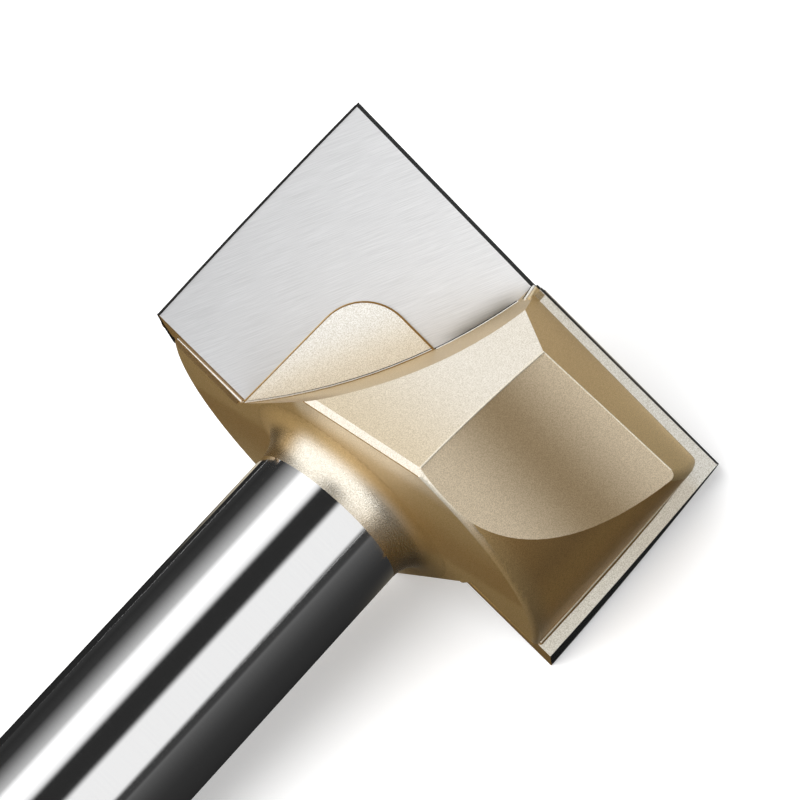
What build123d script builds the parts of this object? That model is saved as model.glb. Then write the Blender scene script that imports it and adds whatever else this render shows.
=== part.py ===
"""A two-flute bottom cleaning router bit.

One piece of steel carries the round shank, the neck and the wide head. Two flutes are milled
into the head half a turn apart, and an L-shaped carbide blade is brazed into a seat on the
floor of each. The tool is drawn upright, with its axis on Z and the cutting end at Z = 0, and
is laid down at the end the way it comes to rest on a bench.
"""

from build123d import *
from math import acos, atan2, cos, degrees, hypot, radians, sin, sqrt, tan
import os

# Shank and neck, in millimetres
shank_diameter = 12.7
shank_length = 38.0
shank_chamfer = 0.8
neck_radius = 2.63

# Head
flutes = 2
head_diameter = 34.8
head_length = 21.25
end_setback = 1.78
web_setback = 1.15
end_slope = 32.6
corner_round = 0.65
shoulder_round = 0.43

# Blades
cutting_diameter = 38.1
blade_length = 21.0
blade_thickness = 1.8
side_leg_width = 9.36
end_leg_width = 8.75
notch_radius = 4.0
braze_gap = 0.1
axial_rake = 10.5
centre_offset = 0.27
end_dish = 0.5
side_clearance = 16.5
end_clearance = 24.0
end_land = 0.38
side_land = 0.12
land_depth = 0.1

# Flute floor and wall
floor_rise = 0.12
floor_round = 0.08
wall_radius = 44.0
wall_tip_offset = 0.37
wall_tip_height = 2.05
wall_heel_offset = 9.55
wall_lean = 7.9

# Heel behind each blade
heel_angle = -91.4
flat_azimuth = -133.9
flat_rise = 25.1
bevel_run = 0.55
hollow_radius = 250.0
hollow_azimuth = -82.5
hollow_rise = 27.4
hollow_turn = 23.0

head_radius = head_diameter / 2
shank_radius = shank_diameter / 2
cutting_radius = cutting_diameter / 2
shoulder_z = -head_length
neck_z = shoulder_z - neck_radius
shank_end_z = neck_z - shank_length
reach = 2 * cutting_radius


def heading(azimuth, rise):
    """Unit vector at a compass angle round the axis and a rise above the square section."""
    a, r = radians(azimuth), radians(rise)
    return Vector(cos(r) * cos(a), cos(r) * sin(a), sin(r))


# The blade's face lies in a plane leaned back by the axial rake. The plane's X runs across the
# tool, its Y runs up the face towards the cutting end, and its Z points out of the flute.
rake_cos = cos(radians(axial_rake))
rake_sin = sin(radians(axial_rake))
face = Plane(origin=(0, centre_offset, 0), x_dir=(1, 0, 0), z_dir=(0, -rake_cos, -rake_sin))
flute_floor = face.offset(floor_rise)
seat_floor = face.offset(-blade_thickness - braze_gap)


def up_face(z):
    """Distance along the raked face for a height measured on the tool's axis."""
    return z / rake_cos


# The flute's wall leaves the tip nearly straight and flares out to the shoulder on one arc
wall_tip = Vector(-wall_tip_offset, up_face(-wall_tip_height))
wall_heel = Vector(-wall_heel_offset, up_face(shoulder_z))
chord = wall_heel - wall_tip
across_chord = Vector(chord.Y, -chord.X).normalized()
centre_reach = sqrt(wall_radius**2 - chord.length**2 / 4)
wall_centre = (wall_tip + wall_heel) * 0.5 + across_chord * centre_reach


def wall_x(v):
    """Where the arc of the wall stands at a distance v along the raked face."""
    return wall_centre.X + sqrt(wall_radius**2 - (v - wall_centre.Y) ** 2)


# Corners of the blade on its face
end_leg_v = up_face(-end_leg_width)
blade_end_v = up_face(-blade_length)
leg_tip = Vector(wall_x(end_leg_v), end_leg_v)
side_leg_inner = cutting_radius - side_leg_width
notch_centre = Vector(-side_leg_inner + notch_radius, end_leg_v - notch_radius)
tip_drop = (cutting_radius - wall_tip_offset) * tan(radians(end_dish))


def edge_x(z):
    """Reach of the cutting edge at a height, so that it runs on a cylinder about the axis."""
    y = centre_offset - z * tan(radians(axial_rake))
    return -sqrt(cutting_radius**2 - y**2)


def side_inset(z, depth):
    """How far the blade's outer flank falls in by that depth behind the edge."""
    y = centre_offset - z * tan(radians(axial_rake))
    lean = degrees(atan2(y, cutting_radius)) + side_clearance
    return depth / rake_cos * tan(radians(lean))


def blade_outline(depth, end_inset=0, outer_inset=0):
    """Draw the L of the blade as it is at a depth behind its face, drawn in at its edges."""
    level = depth * tan(radians(axial_rake))
    drop = depth * tan(radians(end_clearance)) / rake_cos + end_inset
    outer = [
        Vector(edge_x(z) + side_inset(z, depth) + outer_inset, up_face(z) - level)
        for z in (0, -blade_length / 2, -blade_length)
    ]
    corner = outer[0] - Vector(0, drop)
    inner_tip = Vector(-wall_tip_offset, -tip_drop - level - drop)
    inner_end = Vector(-side_leg_inner, blade_end_v - level)
    wall_middle_v = (wall_tip.Y + leg_tip.Y) / 2
    Line(corner, inner_tip)
    Line(inner_tip, wall_tip)
    ThreePointArc(wall_tip, (wall_x(wall_middle_v), wall_middle_v), leg_tip)
    Line(leg_tip, (notch_centre.X, end_leg_v))
    RadiusArc(
        (notch_centre.X, end_leg_v),
        (-side_leg_inner, notch_centre.Y),
        -notch_radius,
    )
    Line((-side_leg_inner, notch_centre.Y), inner_end)
    Line(inner_end, outer[2])
    ThreePointArc(outer[2], outer[1], corner)


# The corner of the heel: where its flat, its bevel and the round of the head meet
heel = Vector(
    head_radius * cos(radians(heel_angle)),
    head_radius * sin(radians(heel_angle)),
    shoulder_z + shoulder_round,
)
flat_out = heading(flat_azimuth, flat_rise)
bevel_out = heading(flat_azimuth, degrees(atan2(-bevel_run, shoulder_round)))
hollow_out = heading(hollow_azimuth, hollow_rise)
hollow_level = hollow_out.cross(Vector(0, 0, 1)).normalized()
hollow_axis = hollow_level.rotate(Axis((0, 0, 0), hollow_out), -hollow_turn)

# Flute: the space over the floor and beside the wall, run out past the head on both sides
with BuildPart() as flute:
    with BuildSketch(flute_floor):
        with BuildLine():
            top, bottom = up_face(reach), up_face(-reach)
            Line((-wall_tip_offset, top), wall_tip)
            ThreePointArc(
                wall_tip,
                (wall_x((wall_tip.Y + wall_heel.Y) / 2), (wall_tip.Y + wall_heel.Y) / 2),
                wall_heel,
            )
            Polyline(
                wall_heel,
                (wall_heel.X, bottom),
                (-reach, bottom),
                (-reach, top),
                (-wall_tip_offset, top),
            )
        make_face()
    extrude(amount=reach, dir=(0, -cos(radians(wall_lean)), -sin(radians(wall_lean))))

# Seat: the blade's outline sunk into the floor, open at the side, the end and the shoulder
with BuildPart() as seat:
    with BuildSketch(seat_floor):
        with BuildLine():
            Polyline(
                wall_tip,
                (-wall_tip_offset, top),
                (-reach, top),
                (-reach, bottom),
                (-side_leg_inner, bottom),
                (-side_leg_inner, notch_centre.Y),
            )
            RadiusArc(
                (-side_leg_inner, notch_centre.Y),
                (notch_centre.X, end_leg_v),
                notch_radius,
            )
            Line((notch_centre.X, end_leg_v), leg_tip)
            wall_middle_v = (wall_tip.Y + leg_tip.Y) / 2
            ThreePointArc(leg_tip, (wall_x(wall_middle_v), wall_middle_v), wall_tip)
        make_face()
    extrude(amount=blade_thickness + braze_gap + floor_rise)

# End relief: above the sloped end and behind the blade's back plane
back_y = centre_offset + blade_thickness / rake_cos + end_setback * tan(radians(axial_rake))
rim = Vector(0, -back_y, -end_setback)
with BuildPart() as end_relief:
    with BuildSketch(Plane.YZ):
        with BuildLine():
            Polyline(
                (rim.Y, rim.Z),
                (rim.Y + end_setback * tan(radians(axial_rake)), 0),
                (rim.Y + end_setback * tan(radians(axial_rake)), end_setback),
                (-reach, end_setback),
                (-reach, rim.Z - (reach + rim.Y) * tan(radians(end_slope))),
                (rim.Y, rim.Z),
            )
        make_face()
    extrude(amount=reach, both=True)

# Heel cutters: the flat and its bevel are half-spaces, the hollow is a large grinding wheel
with BuildPart() as heel_flat:
    with BuildSketch(Plane(origin=heel, z_dir=flat_out)):
        Rectangle(4 * reach, 4 * reach)
    extrude(amount=reach)
    split(bisect_by=Plane.XZ, keep=Keep.TOP)

with BuildPart() as heel_bevel:
    with BuildSketch(Plane(origin=heel, z_dir=bevel_out)):
        Rectangle(4 * reach, 4 * reach)
    extrude(amount=reach)
    split(bisect_by=Plane.XZ, keep=Keep.TOP)
    split(bisect_by=Plane.XY.offset(shoulder_z), keep=Keep.TOP)

with BuildPart() as heel_hollow:
    with BuildSketch(Plane(origin=heel, x_dir=hollow_out, z_dir=hollow_axis)):
        with Locations((hollow_radius, 0)):
            Circle(hollow_radius)
    extrude(amount=2 * reach, both=True)
    split(bisect_by=Plane.XZ, keep=Keep.TOP)


def edge_points(edge):
    """A few points spread along an edge."""
    return [edge.position_at(t / 4) for t in range(5)]


def on_head_round(edge):
    """True for an edge on the head's round."""
    return all(abs(hypot(p.X, p.Y) - head_radius) < 0.01 for p in edge_points(edge))


def on_end_slope(edge):
    """True for an edge on one of the sloped ends."""
    fall = tan(radians(end_slope))
    return all(abs(rim.Z - (abs(p.Y) - back_y) * fall - p.Z) < 0.01 for p in edge_points(edge))


def on_notch_edge(edge):
    """True for an edge of the raised floor along the notch of a blade."""
    for turn in (1, -1):
        points = [Vector(turn * p.X, turn * p.Y, p.Z) for p in edge_points(edge)]
        points = [flute_floor.to_local_coords(p) for p in points]
        if all(abs(p.Z) < 0.01 and beside_notch(p) for p in points):
            return True
    return False


def beside_notch(p):
    """True for a point of the floor on the straight sides or the round of the notch."""
    on_side = abs(p.X + side_leg_inner) < 0.01 and p.Y < notch_centre.Y + 0.01
    on_top = abs(p.Y - end_leg_v) < 0.01 and p.X > notch_centre.X - 0.01
    on_round = abs(hypot(p.X - notch_centre.X, p.Y - notch_centre.Y) - notch_radius) < 0.01
    return on_side or on_top or on_round


# Steel body: shank, neck and head turned in one piece, then milled, still without its seats
with BuildPart() as milled:
    with BuildSketch(Plane.XZ):
        with BuildLine():
            Polyline(
                (0, -web_setback),
                (0, shank_end_z),
                (shank_radius - shank_chamfer, shank_end_z),
                (shank_radius, shank_end_z + shank_chamfer),
                (shank_radius, neck_z),
            )
            RadiusArc((shank_radius, neck_z), (shank_radius + neck_radius, shoulder_z), neck_radius)
            Line((shank_radius + neck_radius, shoulder_z), (head_radius - shoulder_round, shoulder_z))
            RadiusArc(
                (head_radius - shoulder_round, shoulder_z),
                (head_radius, shoulder_z + shoulder_round),
                -shoulder_round,
            )
            Polyline(
                (head_radius, shoulder_z + shoulder_round),
                (head_radius, -web_setback),
                (0, -web_setback),
            )
        make_face()
    revolve(axis=Axis.Z)
    with PolarLocations(0, flutes):
        add(end_relief.part, mode=Mode.SUBTRACT)
    rims = milled.edges().filter_by(lambda e: on_head_round(e) and on_end_slope(e))
    fillet(rims, corner_round)
    with PolarLocations(0, flutes):
        for cutter in (flute, heel_flat, heel_hollow, heel_bevel):
            add(cutter.part, mode=Mode.SUBTRACT)

with BuildPart() as body:
    add(milled.part)
    with PolarLocations(0, flutes):
        add(seat.part, mode=Mode.SUBTRACT)
    fillet(body.edges().filter_by(on_notch_edge), floor_round)

# Blade: honed lands along its end and side edges, then clearance behind them
with BuildPart() as blade:
    with BuildSketch(face):
        with BuildLine():
            blade_outline(0, end_land, side_land)
        make_face()
    with BuildSketch(face.offset(-land_depth)):
        with BuildLine():
            blade_outline(land_depth)
        make_face()
    with BuildSketch(face.offset(-blade_thickness)):
        with BuildLine():
            blade_outline(blade_thickness)
        make_face()
    loft(ruled=True)

# Braze: a thin film between the blade and the steel that carries it, no further
with BuildPart() as braze:
    with BuildSketch(seat_floor):
        with BuildLine():
            blade_outline(blade_thickness)
        make_face()
    extrude(amount=braze_gap)
    add(milled.part, mode=Mode.INTERSECT)


def first_touch(part, down):
    """The corner of the head or of a blade that lies furthest along a direction."""
    corners = [v.center() for v in part.vertices() if v.Z > neck_z]
    return max(corners, key=lambda p: p.dot(down))


# At rest the tool lies over one flute: on the heel of one wing, on the blade of the other and on
# the rim of the shank's end. The direction that touches all three is found by closing in on it.
opposite = Location((0, 0, 0), (0, 0, 180))
rim_z = shank_end_z + shank_chamfer
down = heading(flat_azimuth + 180, 0)
for _ in range(30):
    tip = first_touch(opposite * blade.part, down)
    span = first_touch(body.part, down) - tip
    lift = down.Z / hypot(down.X, down.Y)
    turn = atan2(span.Y, span.X) - acos(-span.Z * lift / hypot(span.X, span.Y))
    lift = (tip.X * cos(turn) + tip.Y * sin(turn) - shank_radius) / (rim_z - tip.Z)
    down = Vector(cos(turn), sin(turn), lift).normalized()

# Lay the tool on that side, its axis along +X, with the middle of its footprint at the origin
bench = Plane(origin=(0, 0, 0), x_dir=Vector(0, 0, 1) - down * down.Z, z_dir=-down)
lay = bench.location.inverse()
box = Compound([lay * body.part, lay * blade.part, lay * opposite * blade.part]).bounding_box()
middle = box.center()
lay = Pos(-middle.X, -middle.Y, -box.min.Z) * lay

with BuildPart() as cutter_body:
    add(lay * body.part)
with BuildPart() as blade_1:
    add(lay * blade.part)
with BuildPart() as blade_2:
    add(lay * opposite * blade.part)
with BuildPart() as braze_1:
    add(lay * braze.part)
with BuildPart() as braze_2:
    add(lay * opposite * braze.part)

os.makedirs("parts", exist_ok=True)
cutter_body.part.label = "cutter_body"
export_step(cutter_body.part, "parts/cutter_body.step")
blade_1.part.label = "blade_1"
export_step(blade_1.part, "parts/blade_1.step")
blade_2.part.label = "blade_2"
export_step(blade_2.part, "parts/blade_2.step")
braze_1.part.label = "braze_1"
export_step(braze_1.part, "parts/braze_1.step")
braze_2.part.label = "braze_2"
export_step(braze_2.part, "parts/braze_2.step")

print("direction of the bench", down)
print("size", box.size)
print("tool's origin on the bench", (lay * Pos(0, 0, 0)).position)
print("one unit along the tool's X", (lay * Pos(1, 0, 0)).position)
print("one unit along the tool's Y", (lay * Pos(0, 1, 0)).position)
print("one unit along the tool's Z", (lay * Pos(0, 0, 1)).position)
print("middle of the shank", (lay * Pos(0, 0, (rim_z + neck_z) / 2)).position)
print("shank's straight length", neck_z - rim_z)
for name, part in (
    ("cutter_body", cutter_body),
    ("blade_1", blade_1),
    ("blade_2", blade_2),
    ("braze_1", braze_1),
    ("braze_2", braze_2),
):
    print(name, "valid", part.part.is_valid, "solids", len(part.part.solids()), part.part.volume)
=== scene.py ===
# %% [markdown]
# A router bit, dressed for a picture.
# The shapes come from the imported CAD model: a steel body, two carbide blades and the films of
# braze under them. This script adds what CAD leaves out: the sandy gold coating, the polished
# shank, the ground blades, the bead of braze along each seam, the light and the camera.

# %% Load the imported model
import math
import bpy
from mathutils import Matrix, Vector


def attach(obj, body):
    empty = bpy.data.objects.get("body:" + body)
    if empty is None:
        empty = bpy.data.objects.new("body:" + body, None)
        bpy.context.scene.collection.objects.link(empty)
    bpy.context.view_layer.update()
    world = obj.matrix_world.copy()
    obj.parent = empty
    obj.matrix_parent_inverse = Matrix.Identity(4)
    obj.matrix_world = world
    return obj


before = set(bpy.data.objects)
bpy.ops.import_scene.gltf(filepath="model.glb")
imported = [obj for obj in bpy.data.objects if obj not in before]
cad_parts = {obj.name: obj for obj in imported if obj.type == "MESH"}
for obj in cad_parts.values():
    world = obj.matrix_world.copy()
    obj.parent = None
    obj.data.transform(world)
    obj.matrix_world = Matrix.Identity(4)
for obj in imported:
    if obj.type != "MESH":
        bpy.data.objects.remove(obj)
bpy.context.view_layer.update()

print("nodes", sorted(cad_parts))

# %% [markdown]
# The tool lies tilted on the bench, but its features are easiest to name along its own axis.
# Three directions and an origin turn a point of the tool (millimetres, axis on Z, cutting end at
# Z = 0) into a point of the scene (metres). Used the other way round, they tell which part of
# the tool a face belongs to.

# %% From the tool's own axes to the bench
MM = 0.001
TOOL_X = Vector((0.118827, -0.596135, -0.794042))
TOOL_Y = Vector((0.088228, 0.802884, -0.589570))
TOOL_Z = Vector((0.988987, 0.0, 0.148000))
TOOL_ORIGIN = Vector((0.0299189, 0.0, 0.0153199))


def on_bench(point):
    """Turn a point of the tool, in millimetres, into a point of the scene."""
    x, y, z = point
    return TOOL_ORIGIN + (TOOL_X * x + TOOL_Y * y + TOOL_Z * z) * MM


def on_tool(point):
    """Turn a point of the scene into a point of the tool, in millimetres."""
    away = (Vector(point) - TOOL_ORIGIN) / MM
    return Vector((away.dot(TOOL_X), away.dot(TOOL_Y), away.dot(TOOL_Z)))


print("cutting end on the bench", [round(v * 1000, 2) for v in on_bench((0, 0, 0))])

# %% [markdown]
# The camera stands where the photograph was taken from, worked out from the corners of the
# blades. A long lens keeps the edges of the blades almost parallel. Its attitude could be given
# by three angles, which would have to be rounded, so three unit vectors give it exactly.

# %% Camera
camera_data = bpy.data.cameras.new("camera")
camera_data.lens = 127.69
camera_data.sensor_width = 36
camera_data.clip_start = 0.01
camera_data.clip_end = 20
camera = bpy.data.objects.new("camera", camera_data)
bpy.context.scene.collection.objects.link(camera)
camera_right = Vector((0.707191, -0.642940, -0.294124))
camera_up = Vector((0.611813, 0.347997, 0.710340))
camera_back = Vector((-0.354352, -0.682295, 0.639460))
camera_place = Vector((-0.056936, -0.139271, 0.146360))
camera.matrix_world = Matrix(
    (
        (camera_right.x, camera_up.x, camera_back.x, camera_place.x),
        (camera_right.y, camera_up.y, camera_back.y, camera_place.y),
        (camera_right.z, camera_up.z, camera_back.z, camera_place.z),
        (0, 0, 0, 1),
    )
)
bpy.context.scene.camera = camera
print("camera to the tool's tip in mm", round((camera_place - TOOL_ORIGIN).length * 1000))

# %% [markdown]
# One large soft box hangs to the left of the bench and gives the light its direction. A sun lamp
# could do so too, but its shadow would have a hard edge. Metal is lit by what it mirrors, and
# the cards of the room do that, so the soft box is hidden from reflections. Otherwise it would
# burn a white spot into the hollow of the neck.

# %% Lamp over the bench
LAMP_PLACE = Vector((-0.32, -0.02, 0.42))
LAMP_AIM = Vector((0, 0, 0.01))
lamp_data = bpy.data.lights.new("soft_box", "AREA")
lamp_data.shape = "RECTANGLE"
lamp_data.size = 0.55
lamp_data.size_y = 0.6
lamp_data.energy = 3.9
lamp = bpy.data.objects.new("soft_box", lamp_data)
bpy.context.scene.collection.objects.link(lamp)
lamp.visible_glossy = False
lamp.location = LAMP_PLACE
lamp.rotation_mode = "QUATERNION"
lamp.rotation_quaternion = (LAMP_PLACE - LAMP_AIM).to_track_quat("Z", "Y")
print("soft box to the bench in mm", round((LAMP_PLACE - LAMP_AIM).length * 1000))


# %% Helpers for numbers in shader nodes
def link(tree, source, target):
    """Join one socket to another."""
    tree.links.new(source, target)


def maths(tree, operation, first, second=None):
    """Add a Math node; its inputs are sockets or plain numbers."""
    node = tree.nodes.new("ShaderNodeMath")
    node.operation = operation
    for socket, value in zip(node.inputs, (first, second)):
        if value is None:
            continue
        if isinstance(value, (int, float)):
            socket.default_value = value
        else:
            link(tree, value, socket)
    return node.outputs[0]


def times(tree, first, *others):
    """Multiply sockets and plain numbers."""
    product = first
    for other in others:
        product = maths(tree, "MULTIPLY", product, other)
    return product


def spread(tree, value, low, high, low_out=0.0, high_out=1.0, shape="LINEAR"):
    """Turn a value into a clamped slope between two limits, straight unless `shape` says how."""
    node = tree.nodes.new("ShaderNodeMapRange")
    node.interpolation_type = shape
    link(tree, value, node.inputs["Value"])
    node.inputs["From Min"].default_value = low
    node.inputs["From Max"].default_value = high
    node.inputs["To Min"].default_value = low_out
    node.inputs["To Max"].default_value = high_out
    return node.outputs["Result"]


def smooth(tree, value, low, high, low_out=0.0, high_out=1.0):
    """Turn a value into a soft step between two limits."""
    return spread(tree, value, low, high, low_out, high_out, "SMOOTHSTEP")


# %% Helpers for colours in shader nodes
def ramp(tree, value, stops):
    """Add a colour ramp from a list of places and colours."""
    node = tree.nodes.new("ShaderNodeValToRGB")
    elements = node.color_ramp.elements
    elements[0].position = stops[0][0]
    elements[1].position = stops[-1][0]
    for place, colour in stops[1:-1]:
        elements.new(place)
    for element, (place, colour) in zip(elements, stops):
        element.color = (*colour, 1)
    link(tree, value, node.inputs["Fac"])
    return node.outputs["Color"]


def mix(tree, factor, first, second, blend="MIX"):
    """Mix two colours; each input is a socket or plain values."""
    node = tree.nodes.new("ShaderNodeMix")
    node.data_type = "RGBA"
    node.blend_type = blend
    sockets = (node.inputs[0], node.inputs[6], node.inputs[7])
    for socket, value in zip(sockets, (factor, first, second)):
        if isinstance(value, (int, float)):
            socket.default_value = value
        elif isinstance(value, tuple):
            socket.default_value = (*value, 1)
        else:
            link(tree, value, socket)
    return node.outputs[2]


def seen_directly(tree):
    """1 where the camera or a mirror looks, 0 where light falls on a matt surface."""
    path = tree.nodes.new("ShaderNodeLightPath").outputs
    seen = maths(tree, "MAXIMUM", path["Is Camera Ray"], path["Is Glossy Ray"])
    return maths(tree, "MAXIMUM", seen, path["Is Transmission Ray"])


# %% [markdown]
# Polished metal is only as good as what it mirrors, so for a picture it stands in a room of
# white and black cards. A panorama picture could be that room, but here it is drawn by
# direction, so each card can be set by itself. Climb is the angle of a look over the bench's
# front edge: 0 is straight ahead, 90 is up and 180 is behind. The cards are strips across the
# room, and their order is the order of the bands on the shank.

# %% Directions in the room
world = bpy.data.worlds.new("room")
bpy.context.scene.world = world
world.use_nodes = True
room = world.node_tree
room.nodes.clear()
look = room.nodes.new("ShaderNodeTexCoord")
parts = room.nodes.new("ShaderNodeSeparateXYZ")
link(room, look.outputs["Generated"], parts.inputs[0])
look_x, look_y, look_z = parts.outputs
climb = maths(room, "ARCTAN2", look_z, times(room, look_y, -1.0))
climb_degrees = times(room, climb, 180 / math.pi)

# %% Cards across the room
CARDS = [
    (0, 0.05), (5, 0.9), (44, 0.9), (52, 0.03), (75, 0.024), (82, 0.8), (88, 1.15),
    (110, 1.15), (117, 0.52), (124, 0.38), (136, 0.17), (147, 0.035), (165, 0.025), (180, 0.04),
]
CARDS_START = (-0.2, -0.1)
CARDS_END = (0.36, 0.5)
cards = ramp(
    room,
    maths(room, "DIVIDE", climb, math.pi),
    [(degrees / 180, (level,) * 3) for degrees, level in CARDS],
)
before_end = smooth(room, look_x, *CARDS_END, 1.0, 0.0)
on_cards = times(room, smooth(room, look_x, *CARDS_START), before_end)
print("cards across the room", len(CARDS))

# %% [markdown]
# One black card is longer than the others and reaches round the tool's left. Beyond the cards
# the room is plain, brightest on the left. Only reflections see the cards and the walls: to matt
# surfaces the room is one even white, which keeps their colour as it is written.

# %% Walls of the room
BLACK_RISE, BLACK_FALL = (46, 54), (73, 81)
BLACK_START = (-0.6, -0.45)
BLACK = (0.024,) * 3
LEFT_END, LEFT_WALL = (-0.2, 0.0), (1.25,) * 3
RIGHT_START, RIGHT_WALL = (0.5, 0.85), (0.7, 0.68, 0.64)
MIDDLE_WALL = (0.95,) * 3
EVEN_WHITE = (0.65,) * 3
on_black = times(
    room,
    smooth(room, climb_degrees, *BLACK_RISE),
    smooth(room, climb_degrees, *BLACK_FALL, 1.0, 0.0),
    smooth(room, look_x, *BLACK_START),
    before_end,
)
sky = mix(room, smooth(room, look_x, *RIGHT_START), MIDDLE_WALL, RIGHT_WALL)
sky = mix(room, smooth(room, look_x, *LEFT_END, 1.0, 0.0), sky, LEFT_WALL)
sky = mix(room, on_cards, sky, cards)
sky = mix(room, on_black, sky, BLACK)
background = room.nodes.new("ShaderNodeBackground")
link(room, mix(room, seen_directly(room), EVEN_WHITE, sky), background.inputs["Color"])
world_out = room.nodes.new("ShaderNodeOutputWorld")
link(room, background.outputs[0], world_out.inputs["Surface"])
print("nodes that draw the room", len(room.nodes))

# %% [markdown]
# The floor is a plain pale sheet. A shadow catcher would keep the shadow alone, but then the
# metal would have no floor to mirror. Seen directly or in a reflection the sheet gets a little
# light of its own, so that it reads as white paper and still keeps the tool's soft shadow.


# %% Floor
def sheet(name, material_name, x_span, y_span, height):
    """Lay a flat sheet on the stage, and give it a material with an empty tree."""
    mesh = bpy.data.meshes.new(name)
    (left, right), (front, back) = x_span, y_span
    corners = [(left, front), (right, front), (right, back), (left, back)]
    mesh.from_pydata([(x, y, height) for x, y in corners], [], [(0, 1, 2, 3)])
    piece = bpy.data.objects.new(name, mesh)
    bpy.context.scene.collection.objects.link(piece)
    material = bpy.data.materials.new(material_name)
    material.use_nodes = True
    material.node_tree.nodes.clear()
    mesh.materials.append(material)
    return piece, material.node_tree


FLOOR_SPAN = (-3, 3)
PAPER = (0.8, 0.8, 0.8, 1)
PAPER_GLOW = 0.33
floor, paper = sheet("floor", "white_paper", FLOOR_SPAN, FLOOR_SPAN, 0)
paper_diffuse = paper.nodes.new("ShaderNodeBsdfDiffuse")
paper_diffuse.inputs["Color"].default_value = PAPER
paper_glow = paper.nodes.new("ShaderNodeEmission")
link(paper, times(paper, seen_directly(paper), PAPER_GLOW), paper_glow.inputs["Strength"])
paper_add = paper.nodes.new("ShaderNodeAddShader")
link(paper, paper_diffuse.outputs[0], paper_add.inputs[0])
link(paper, paper_glow.outputs[0], paper_add.inputs[1])
paper_out = paper.nodes.new("ShaderNodeOutputMaterial")
link(paper, paper_add.outputs[0], paper_out.inputs["Surface"])
print("floor of", [round(v, 1) for v in floor.dimensions], "m")

# %% [markdown]
# The last card lies on the floor under the tool, and the camera doesn't see it. It is a glowing
# sheet of painted shade, grey far in front and black under the tool, and pale behind the head,
# where it paints warm light bounced from the gold. The underside of the shank and the round of
# the head mirror it, and it keeps the floor from throwing light up at them. From below it is
# clear, so the floor under it still gets its light.

# %% Card on the floor
CARD_WIDE, CARD_LONG, CARD_HEIGHT = (-0.15, 0.25), (-2.9, 2.9), 0.0001
card, shade_card = sheet("floor_card", "floor_card", CARD_WIDE, CARD_LONG, CARD_HEIGHT)
card.visible_camera = False
card.visible_shadow = False
card_place = shade_card.nodes.new("ShaderNodeTexCoord")
card_parts = shade_card.nodes.new("ShaderNodeSeparateXYZ")
link(shade_card, card_place.outputs["Object"], card_parts.inputs[0])
card_x, card_y, _ = card_parts.outputs
CARD_BANDS = [
    (-130, 0.045), (-80, 0.05), (-60, 0.125), (-28, 0.07), (-13, 0.033), (0, 0.018), (60, 0.02),
]
CARD_FROM, CARD_TO = -150, 100
bands = ramp(
    shade_card,
    spread(shade_card, card_y, CARD_FROM * MM, CARD_TO * MM),
    [((y - CARD_FROM) / (CARD_TO - CARD_FROM), (level,) * 3) for y, level in CARD_BANDS],
)

# %% Painted bounce light behind the head
PAINTED_BOUNCE = (0.7, 0.62, 0.48)
on_painted_bounce = times(
    shade_card,
    smooth(shade_card, card_x, 4 * MM, 20 * MM),
    smooth(shade_card, card_y, -10 * MM, 10 * MM),
    smooth(shade_card, card_y, 50 * MM, 60 * MM, 1.0, 0.0),
)
shade_card_glow = shade_card.nodes.new("ShaderNodeEmission")
link(shade_card, mix(shade_card, on_painted_bounce, bands, PAINTED_BOUNCE), shade_card_glow.inputs["Color"])
shade_card_back = shade_card.nodes.new("ShaderNodeBsdfTransparent")
shade_card_side = shade_card.nodes.new("ShaderNodeNewGeometry")
shade_card_mix = shade_card.nodes.new("ShaderNodeMixShader")
link(shade_card, shade_card_side.outputs["Backfacing"], shade_card_mix.inputs[0])
link(shade_card, shade_card_glow.outputs[0], shade_card_mix.inputs[1])
link(shade_card, shade_card_back.outputs[0], shade_card_mix.inputs[2])
shade_card_out = shade_card.nodes.new("ShaderNodeOutputMaterial")
link(shade_card, shade_card_mix.outputs[0], shade_card_out.inputs["Surface"])
print("bands on the floor's card", len(CARD_BANDS))

# %% [markdown]
# Two effects come back on several surfaces. Sand is the fine speckle of a blasted and coated
# surface: a very small noise. Grinding lines are what a wheel leaves: noise stretched many times
# along one direction. Both are far finer than any mesh, so each is a node group that puts out a
# mask and a height, with its own inputs, so that every material can use it at its own size.


# %% Node group: sand
def new_group(name, inputs, outputs):
    """Make a node group with float or vector inputs and float outputs."""
    tree = bpy.data.node_groups.new(name, "ShaderNodeTree")
    for title, kind, value in inputs:
        socket = tree.interface.new_socket(title, in_out="INPUT", socket_type=kind)
        if value is not None:
            socket.default_value = value
    for title in outputs:
        tree.interface.new_socket(title, in_out="OUTPUT", socket_type="NodeSocketFloat")
    return tree, tree.nodes.new("NodeGroupInput"), tree.nodes.new("NodeGroupOutput")


sand, sand_in, sand_out = new_group(
    "Sand",
    [("Vector", "NodeSocketVector", None), ("Scale", "NodeSocketFloat", 9000.0)],
    ["Speckle", "Height"],
)
grain = sand.nodes.new("ShaderNodeTexNoise")
grain.inputs["Detail"].default_value = 2
grain.inputs["Roughness"].default_value = 0.7
link(sand, sand_in.outputs["Vector"], grain.inputs["Vector"])
link(sand, sand_in.outputs["Scale"], grain.inputs["Scale"])
link(sand, smooth(sand, grain.outputs["Fac"], 0.36, 0.64), sand_out.inputs["Speckle"])
link(sand, grain.outputs["Fac"], sand_out.inputs["Height"])


# %% Node group: grinding lines
def dot(tree, first, second):
    """Add a dot product of two vectors; the second is a socket or plain values."""
    node = tree.nodes.new("ShaderNodeVectorMath")
    node.operation = "DOT_PRODUCT"
    link(tree, first, node.inputs[0])
    if isinstance(second, Vector):
        node.inputs[1].default_value = second
    else:
        link(tree, second, node.inputs[1])
    return node.outputs["Value"]


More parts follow.
